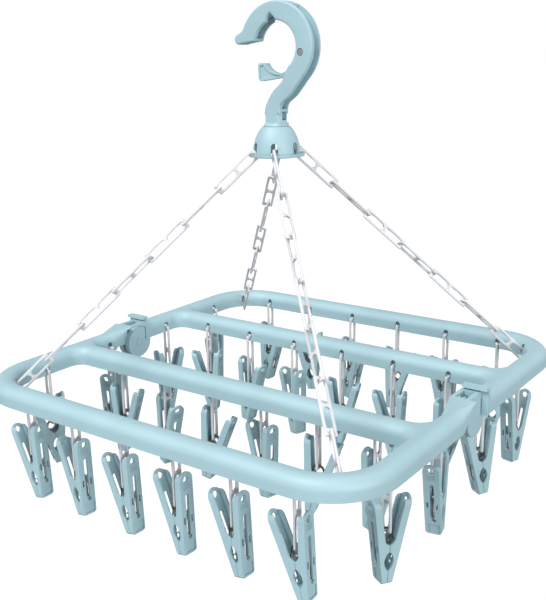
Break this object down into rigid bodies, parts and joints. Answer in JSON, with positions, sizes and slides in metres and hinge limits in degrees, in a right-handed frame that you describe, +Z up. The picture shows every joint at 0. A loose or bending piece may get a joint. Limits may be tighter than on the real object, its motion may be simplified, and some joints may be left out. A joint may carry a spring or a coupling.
{
  "type": "clip drying hanger",
  "caption": "Folding square drying hanger with a swivelling latch hook, link chains and sprung clips hung from two frame halves.",
  "frame": {"origin": "centre of the hook's seat for the drying rod, in the hook's middle plane", "axes": "+Z up, +Y along the drying rod, which is also along the frame's side rails; the hook's mouth faces -X and the folding line lies along X below the hub"},
  "size_m": [0.4016, 0.394, 0.4189],
  "materials": {
    "teal_plastic": "satin",
    "white_plastic": "satin",
    "steel": "drawn wire"
  },
  "bodies": {
    "hook": {"hook_body": "teal_plastic", "gate_rivet": "steel", "gate_spring": "steel", "swivel_retainer": "steel"},
    "gate": {"gate_finger": "teal_plastic"},
    "hub": {"hub_dome": "teal_plastic"},
    "front_chain_pair": {"front_chains": "white_plastic"},
    "front_half": {"front_frame": "teal_plastic", "hinge_pins": "teal_plastic"},
    "rear_half": {"rear_frame": "teal_plastic"},
    "rear_chain_pair": {"rear_chains": "white_plastic"},
    "front_bar_row": {"front_bar_hangers": "teal_plastic", "front_bar_springs": "steel"},
    "front_bar_jaw_1": {"front_bar_jaw_1": "teal_plastic"},
    "front_bar_jaw_2": {"front_bar_jaw_2": "teal_plastic"},
    "front_bar_jaw_3": {"front_bar_jaw_3": "teal_plastic"},
    "front_bar_jaw_4": {"front_bar_jaw_4": "teal_plastic"},
    "front_bar_jaw_5": {"front_bar_jaw_5": "teal_plastic"},
    "front_bar_jaw_6": {"front_bar_jaw_6": "teal_plastic"},
    "front_crossbar_row": {"front_crossbar_hangers": "teal_plastic", "front_crossbar_springs": "steel"},
    "front_crossbar_jaw_1": {"front_crossbar_jaw_1": "teal_plastic"},
    "front_crossbar_jaw_2": {"front_crossbar_jaw_2": "teal_plastic"},
    "front_crossbar_jaw_3": {"front_crossbar_jaw_3": "teal_plastic"},
    "front_crossbar_jaw_4": {"front_crossbar_jaw_4": "teal_plastic"},
    "front_crossbar_jaw_5": {"front_crossbar_jaw_5": "teal_plastic"},
    "front_crossbar_jaw_6": {"front_crossbar_jaw_6": "teal_plastic"},
    "rear_crossbar_row": {"rear_crossbar_hangers": "teal_plastic", "rear_crossbar_springs": "steel"},
    "rear_crossbar_jaw_1": {"rear_crossbar_jaw_1": "teal_plastic"},
    "rear_crossbar_jaw_2": {"rear_crossbar_jaw_2": "teal_plastic"},
    "rear_crossbar_jaw_3": {"rear_crossbar_jaw_3": "teal_plastic"},
    "rear_crossbar_jaw_4": {"rear_crossbar_jaw_4": "teal_plastic"},
    "rear_crossbar_jaw_5": {"rear_crossbar_jaw_5": "teal_plastic"},
    "rear_crossbar_jaw_6": {"rear_crossbar_jaw_6": "teal_plastic"},
    "rear_bar_row": {"rear_bar_hangers": "teal_plastic", "rear_bar_springs": "steel"},
    "rear_bar_jaw_1": {"rear_bar_jaw_1": "teal_plastic"},
    "rear_bar_jaw_2": {"rear_bar_jaw_2": "teal_plastic"},
    "rear_bar_jaw_3": {"rear_bar_jaw_3": "teal_plastic"},
    "rear_bar_jaw_4": {"rear_bar_jaw_4": "teal_plastic"},
    "rear_bar_jaw_5": {"rear_bar_jaw_5": "teal_plastic"},
    "rear_bar_jaw_6": {"rear_bar_jaw_6": "teal_plastic"},
    "front_outer_row": {"front_outer_hangers": "teal_plastic", "front_outer_springs": "steel"},
    "front_outer_jaw_1": {"front_outer_jaw_1": "teal_plastic"},
    "front_outer_jaw_2": {"front_outer_jaw_2": "teal_plastic"},
    "front_inner_row": {"front_inner_hangers": "teal_plastic", "front_inner_springs": "steel"},
    "front_inner_jaw_1": {"front_inner_jaw_1": "teal_plastic"},
    "front_inner_jaw_2": {"front_inner_jaw_2": "teal_plastic"},
    "rear_inner_row": {"rear_inner_hangers": "teal_plastic", "rear_inner_springs": "steel"},
    "rear_inner_jaw_1": {"rear_inner_jaw_1": "teal_plastic"},
    "rear_inner_jaw_2": {"rear_inner_jaw_2": "teal_plastic"},
    "rear_outer_row": {"rear_outer_hangers": "teal_plastic", "rear_outer_springs": "steel"},
    "rear_outer_jaw_1": {"rear_outer_jaw_1": "teal_plastic"},
    "rear_outer_jaw_2": {"rear_outer_jaw_2": "teal_plastic"}
  },
  "joints": [
    {"name": "fold", "type": "hinge", "parent": "front_half", "child": "rear_half", "pos_m": [-0.0041, 0, -0.294], "axis": [-1, 0, 0], "range_deg": [0, 42], "deforming": ["rear_chains"]},
    {"name": "gate_turn", "type": "hinge", "parent": "hook", "child": "gate", "pos_m": [0.0262, 0, -0.0049], "axis": [0, -1, 0], "range_deg": [0, 14], "stiffness_Nm_per_rad": 0.12, "springref_deg": -17.19, "deforming": ["gate_spring"]},
    {"name": "swivel", "type": "hinge", "parent": "hook", "child": "hub", "pos_m": [-0.0041, 0, -0.066], "axis": [0, 0, 1], "continuous": true},
    {"name": "front_chain_swing", "type": "hinge", "parent": "hub", "child": "front_chain_pair", "pos_m": [-0.0041, -0.01983, -0.0907], "axis": [1, 0, 0], "range_deg": [0, 2.91]},
    {"name": "front_corner_turn", "type": "hinge", "parent": "front_chain_pair", "child": "front_half", "pos_m": [-0.0041, -0.16723, -0.29195], "axis": [1, 0, 0], "range_deg": [0, 18.11]},
    {"name": "rear_chain_swing", "type": "hinge", "parent": "hub", "child": "rear_chain_pair", "pos_m": [-0.0041, 0.01983, -0.0907], "axis": [-1, 0, 0], "range_deg": [0, 2.91]},
    {"name": "front_bar_swing", "type": "hinge", "parent": "front_half", "child": "front_bar_row", "pos_m": [-0.0041, -0.1777, -0.2889], "axis": [-1, 0, 0], "range_deg": [0, 12.61]},
    {"name": "front_crossbar_swing", "type": "hinge", "parent": "front_half", "child": "front_crossbar_row", "pos_m": [-0.0041, -0.0642, -0.2889], "axis": [-1, 0, 0], "range_deg": [0, 12.61]},
    {"name": "rear_crossbar_swing", "type": "hinge", "parent": "rear_half", "child": "rear_crossbar_row", "pos_m": [-0.0041, 0.0642, -0.2889], "axis": [1, 0, 0], "range_deg": [0, 12.61]},
    {"name": "rear_bar_swing", "type": "hinge", "parent": "rear_half", "child": "rear_bar_row", "pos_m": [-0.0041, 0.1777, -0.2889], "axis": [1, 0, 0], "range_deg": [0, 12.61]},
    {"name": "front_outer_swing", "type": "hinge", "parent": "front_half", "child": "front_outer_row", "pos_m": [-0.0041, -0.123, -0.2889], "axis": [-1, 0, 0], "range_deg": [0, 12.61]},
    {"name": "front_inner_swing", "type": "hinge", "parent": "front_half", "child": "front_inner_row", "pos_m": [-0.0041, -0.042, -0.2889], "axis": [-1, 0, 0], "range_deg": [0, 12.61]},
    {"name": "rear_inner_swing", "type": "hinge", "parent": "rear_half", "child": "rear_inner_row", "pos_m": [-0.0041, 0.042, -0.2889], "axis": [1, 0, 0], "range_deg": [0, 12.61]},
    {"name": "rear_outer_swing", "type": "hinge", "parent": "rear_half", "child": "rear_outer_row", "pos_m": [-0.0041, 0.123, -0.2889], "axis": [1, 0, 0], "range_deg": [0, 12.61]},
    {"name": "front_bar_jaw_1_open", "type": "hinge", "parent": "front_bar_row", "child": "front_bar_jaw_1", "pos_m": [-0.14268, -0.17765, -0.35044], "axis": [-0.0349, 0.9994, 0], "range_deg": [0, 18], "stiffness_Nm_per_rad": 0.3, "springref_deg": -34.38, "deforming": ["front_bar_springs"]},
    {"name": "front_bar_jaw_2_open", "type": "hinge", "parent": "front_bar_row", "child": "front_bar_jaw_2", "pos_m": [-0.0868, -0.17784, -0.35046], "axis": [0.1045, 0.9945, 0], "range_deg": [0, 18], "stiffness_Nm_per_rad": 0.3, "springref_deg": -34.38, "deforming": ["front_bar_springs"]},
    {"name": "front_bar_jaw_3_open", "type": "hinge", "parent": "front_bar_row", "child": "front_bar_jaw_3", "pos_m": [-0.03068, -0.17775, -0.35044], "axis": [0.0349, 0.9994, 0], "range_deg": [0, 18], "stiffness_Nm_per_rad": 0.3, "springref_deg": -34.38, "deforming": ["front_bar_springs"]},
    {"name": "front_bar_jaw_4_open", "type": "hinge", "parent": "front_bar_row", "child": "front_bar_jaw_4", "pos_m": [0.02521, -0.17779, -0.35046], "axis": [0.0698, 0.9976, 0], "range_deg": [0, 18], "stiffness_Nm_per_rad": 0.3, "springref_deg": -34.38, "deforming": ["front_bar_springs"]},
    {"name": "front_bar_jaw_5_open", "type": "hinge", "parent": "front_bar_row", "child": "front_bar_jaw_5", "pos_m": [0.08131, -0.1778, -0.35044], "axis": [0.0698, 0.9976, 0], "range_deg": [0, 18], "stiffness_Nm_per_rad": 0.3, "springref_deg": -34.38, "deforming": ["front_bar_springs"]},
    {"name": "front_bar_jaw_6_open", "type": "hinge", "parent": "front_bar_row", "child": "front_bar_jaw_6", "pos_m": [0.13732, -0.17765, -0.35044], "axis": [-0.0349, 0.9994, 0], "range_deg": [0, 18], "stiffness_Nm_per_rad": 0.3, "springref_deg": -34.38, "deforming": ["front_bar_springs"]},
    {"name": "front_crossbar_jaw_1_open", "type": "hinge", "parent": "front_crossbar_row", "child": "front_crossbar_jaw_1", "pos_m": [-0.14474, -0.06436, -0.35057], "axis": [0.2419, -0.9703, 0], "range_deg": [0, 18], "stiffness_Nm_per_rad": 0.3, "springref_deg": -34.38, "deforming": ["front_crossbar_springs"]},
    {"name": "front_crossbar_jaw_2_open", "type": "hinge", "parent": "front_crossbar_row", "child": "front_crossbar_jaw_2", "pos_m": [-0.08903, -0.06386, -0.35052], "axis": [-0.342, -0.9397, 0], "range_deg": [0, 18], "stiffness_Nm_per_rad": 0.3, "springref_deg": -34.38, "deforming": ["front_crossbar_springs"]},
    {"name": "front_crossbar_jaw_3_open", "type": "hinge", "parent": "front_crossbar_row", "child": "front_crossbar_jaw_3", "pos_m": [-0.0334, -0.06438, -0.35046], "axis": [0.1392, -0.9903, 0], "range_deg": [0, 18], "stiffness_Nm_per_rad": 0.3, "springref_deg": -34.38, "deforming": ["front_crossbar_springs"]},
    {"name": "front_crossbar_jaw_4_open", "type": "hinge", "parent": "front_crossbar_row", "child": "front_crossbar_jaw_4", "pos_m": [0.02474, -0.06444, -0.35054], "axis": [0.2756, 0.9613, 0], "range_deg": [0, 18], "stiffness_Nm_per_rad": 0.3, "springref_deg": -34.38, "deforming": ["front_crossbar_springs"]},
    {"name": "front_crossbar_jaw_5_open", "type": "hinge", "parent": "front_crossbar_row", "child": "front_crossbar_jaw_5", "pos_m": [0.07886, -0.06454, -0.3505], "axis": [0.309, -0.9511, 0], "range_deg": [0, 18], "stiffness_Nm_per_rad": 0.3, "springref_deg": -34.38, "deforming": ["front_crossbar_springs"]},
    {"name": "front_crossbar_jaw_6_open", "type": "hinge", "parent": "front_crossbar_row", "child": "front_crossbar_jaw_6", "pos_m": [0.13504, -0.06402, -0.35054], "axis": [-0.2079, -0.9781, 0], "range_deg": [0, 18], "stiffness_Nm_per_rad": 0.3, "springref_deg": -34.38, "deforming": ["front_crossbar_springs"]},
    {"name": "rear_crossbar_jaw_1_open", "type": "hinge", "parent": "rear_crossbar_row", "child": "rear_crossbar_jaw_1", "pos_m": [-0.14348, 0.06443, -0.35057], "axis": [-0.342, 0.9397, 0], "range_deg": [0, 18], "stiffness_Nm_per_rad": 0.3, "springref_deg": -34.38, "deforming": ["rear_crossbar_springs"]},
    {"name": "rear_crossbar_jaw_2_open", "type": "hinge", "parent": "rear_crossbar_row", "child": "rear_crossbar_jaw_2", "pos_m": [-0.08886, 0.06431, -0.35055], "axis": [-0.1392, -0.9903, 0], "range_deg": [0, 18], "stiffness_Nm_per_rad": 0.3, "springref_deg": -34.38, "deforming": ["rear_crossbar_springs"]},
    {"name": "rear_crossbar_jaw_3_open", "type": "hinge", "parent": "rear_crossbar_row", "child": "rear_crossbar_jaw_3", "pos_m": [-0.03119, 0.06383, -0.35052], "axis": [0.3746, 0.9272, 0], "range_deg": [0, 18], "stiffness_Nm_per_rad": 0.3, "springref_deg": -34.38, "deforming": ["rear_crossbar_springs"]},
    {"name": "rear_crossbar_jaw_4_open", "type": "hinge", "parent": "rear_crossbar_row", "child": "rear_crossbar_jaw_4", "pos_m": [0.02336, 0.06409, -0.35058], "axis": [0.2079, -0.9781, 0], "range_deg": [0, 18], "stiffness_Nm_per_rad": 0.3, "springref_deg": -34.38, "deforming": ["rear_crossbar_springs"]},
    {"name": "rear_crossbar_jaw_5_open", "type": "hinge", "parent": "rear_crossbar_row", "child": "rear_crossbar_jaw_5", "pos_m": [0.08066, 0.06428, -0.35055], "axis": [-0.1045, 0.9945, 0], "range_deg": [0, 18], "stiffness_Nm_per_rad": 0.3, "springref_deg": -34.38, "deforming": ["rear_crossbar_springs"]},
    {"name": "rear_crossbar_jaw_6_open", "type": "hinge", "parent": "rear_crossbar_row", "child": "rear_crossbar_jaw_6", "pos_m": [0.13484, 0.06446, -0.3505], "axis": [-0.2419, -0.9703, 0], "range_deg": [0, 18], "stiffness_Nm_per_rad": 0.3, "springref_deg": -34.38, "deforming": ["rear_crossbar_springs"]},
    {"name": "rear_bar_jaw_1_open", "type": "hinge", "parent": "rear_bar_row", "child": "rear_bar_jaw_1", "pos_m": [-0.14497, 0.17779, -0.35054], "axis": [-0.1045, -0.9945, 0], "range_deg": [0, 18], "stiffness_Nm_per_rad": 0.3, "springref_deg": -34.38, "deforming": ["rear_bar_springs"]},
    {"name": "rear_bar_jaw_2_open", "type": "hinge", "parent": "rear_bar_row", "child": "rear_bar_jaw_2", "pos_m": [-0.08757, 0.17785, -0.35058], "axis": [-0.2756, 0.9613, 0], "range_deg": [0, 18], "stiffness_Nm_per_rad": 0.3, "springref_deg": -34.38, "deforming": ["rear_bar_springs"]},
    {"name": "rear_bar_jaw_3_open", "type": "hinge", "parent": "rear_bar_row", "child": "rear_bar_jaw_3", "pos_m": [-0.03273, 0.1779, -0.35057], "axis": [-0.309, -0.9511, 0], "range_deg": [0, 18], "stiffness_Nm_per_rad": 0.3, "springref_deg": -34.38, "deforming": ["rear_bar_springs"]},
    {"name": "rear_bar_jaw_4_open", "type": "hinge", "parent": "rear_bar_row", "child": "rear_bar_jaw_4", "pos_m": [0.02304, 0.17755, -0.35054], "axis": [0.1736, -0.9848, 0], "range_deg": [0, 18], "stiffness_Nm_per_rad": 0.3, "springref_deg": -34.38, "deforming": ["rear_bar_springs"]},
    {"name": "rear_bar_jaw_5_open", "type": "hinge", "parent": "rear_bar_row", "child": "rear_bar_jaw_5", "pos_m": [0.08054, 0.17756, -0.35057], "axis": [0.2079, 0.9781, 0], "range_deg": [0, 18], "stiffness_Nm_per_rad": 0.3, "springref_deg": -34.38, "deforming": ["rear_bar_springs"]},
    {"name": "rear_bar_jaw_6_open", "type": "hinge", "parent": "rear_bar_row", "child": "rear_bar_jaw_6", "pos_m": [0.13538, 0.17751, -0.35058], "axis": [0.342, -0.9397, 0], "range_deg": [0, 18], "stiffness_Nm_per_rad": 0.3, "springref_deg": -34.38, "deforming": ["rear_bar_springs"]},
    {"name": "front_outer_jaw_1_open", "type": "hinge", "parent": "front_outer_row", "child": "front_outer_jaw_1", "pos_m": [-0.18453, -0.1224, -0.35057], "axis": [-0.9135, 0.4067, 0], "range_deg": [0, 12], "stiffness_Nm_per_rad": 0.3, "springref_deg": -34.38, "deforming": ["front_outer_springs"]},
    {"name": "front_outer_jaw_2_open", "type": "hinge", "parent": "front_outer_row", "child": "front_outer_jaw_2", "pos_m": [0.17638, -0.12338, -0.35058], "axis": [0.866, -0.5, 0], "range_deg": [0, 12], "stiffness_Nm_per_rad": 0.3, "springref_deg": -34.38, "deforming": ["front_outer_springs"]},
    {"name": "front_inner_jaw_1_open", "type": "hinge", "parent": "front_inner_row", "child": "front_inner_jaw_1", "pos_m": [-0.18463, -0.04252, -0.35058], "axis": [0.9511, 0.309, 0], "range_deg": [0, 12], "stiffness_Nm_per_rad": 0.3, "springref_deg": -34.38, "deforming": ["front_inner_springs"]},
    {"name": "front_inner_jaw_2_open", "type": "hinge", "parent": "front_inner_row", "child": "front_inner_jaw_2", "pos_m": [0.17654, -0.04168, -0.35059], "axis": [-0.9848, -0.1736, 0], "range_deg": [0, 12], "stiffness_Nm_per_rad": 0.3, "springref_deg": -34.38, "deforming": ["front_inner_springs"]},
    {"name": "rear_inner_jaw_1_open", "type": "hinge", "parent": "rear_inner_row", "child": "rear_inner_jaw_1", "pos_m": [-0.18494, 0.04158, -0.35058], "axis": [0.9511, -0.309, 0], "range_deg": [0, 12], "stiffness_Nm_per_rad": 0.3, "springref_deg": -34.38, "deforming": ["rear_inner_springs"]},
    {"name": "rear_inner_jaw_2_open", "type": "hinge", "parent": "rear_inner_row", "child": "rear_inner_jaw_2", "pos_m": [0.17689, 0.04247, -0.35058], "axis": [-0.848, 0.5299, 0], "range_deg": [0, 12], "stiffness_Nm_per_rad": 0.3, "springref_deg": -34.38, "deforming": ["rear_inner_springs"]},
    {"name": "rear_outer_jaw_1_open", "type": "hinge", "parent": "rear_outer_row", "child": "rear_outer_jaw_1", "pos_m": [-0.18496, 0.12341, -0.35058], "axis": [-0.9272, -0.3746, 0], "range_deg": [0, 12], "stiffness_Nm_per_rad": 0.3, "springref_deg": -34.38, "deforming": ["rear_outer_springs"]},
    {"name": "rear_outer_jaw_2_open", "type": "hinge", "parent": "rear_outer_row", "child": "rear_outer_jaw_2", "pos_m": [0.17649, 0.12257, -0.35058], "axis": [0.9703, -0.2419, 0], "range_deg": [0, 12], "stiffness_Nm_per_rad": 0.3, "springref_deg": -34.38, "deforming": ["rear_outer_springs"]}
  ],
  "couplings": [
    {"joint": "front_chain_swing", "follows": "fold", "ratio": 0.0691},
    {"joint": "front_corner_turn", "follows": "fold", "ratio": 0.4309},
    {"joint": "rear_chain_swing", "follows": "fold", "ratio": 0.0691},
    {"joint": "front_bar_swing", "follows": "fold", "ratio": 0.3},
    {"joint": "front_crossbar_swing", "follows": "fold", "ratio": 0.3},
    {"joint": "rear_crossbar_swing", "follows": "fold", "ratio": 0.3},
    {"joint": "rear_bar_swing", "follows": "fold", "ratio": 0.3},
    {"joint": "front_outer_swing", "follows": "fold", "ratio": 0.3},
    {"joint": "front_inner_swing", "follows": "fold", "ratio": 0.3},
    {"joint": "rear_inner_swing", "follows": "fold", "ratio": 0.3},
    {"joint": "rear_outer_swing", "follows": "fold", "ratio": 0.3}
  ]
}
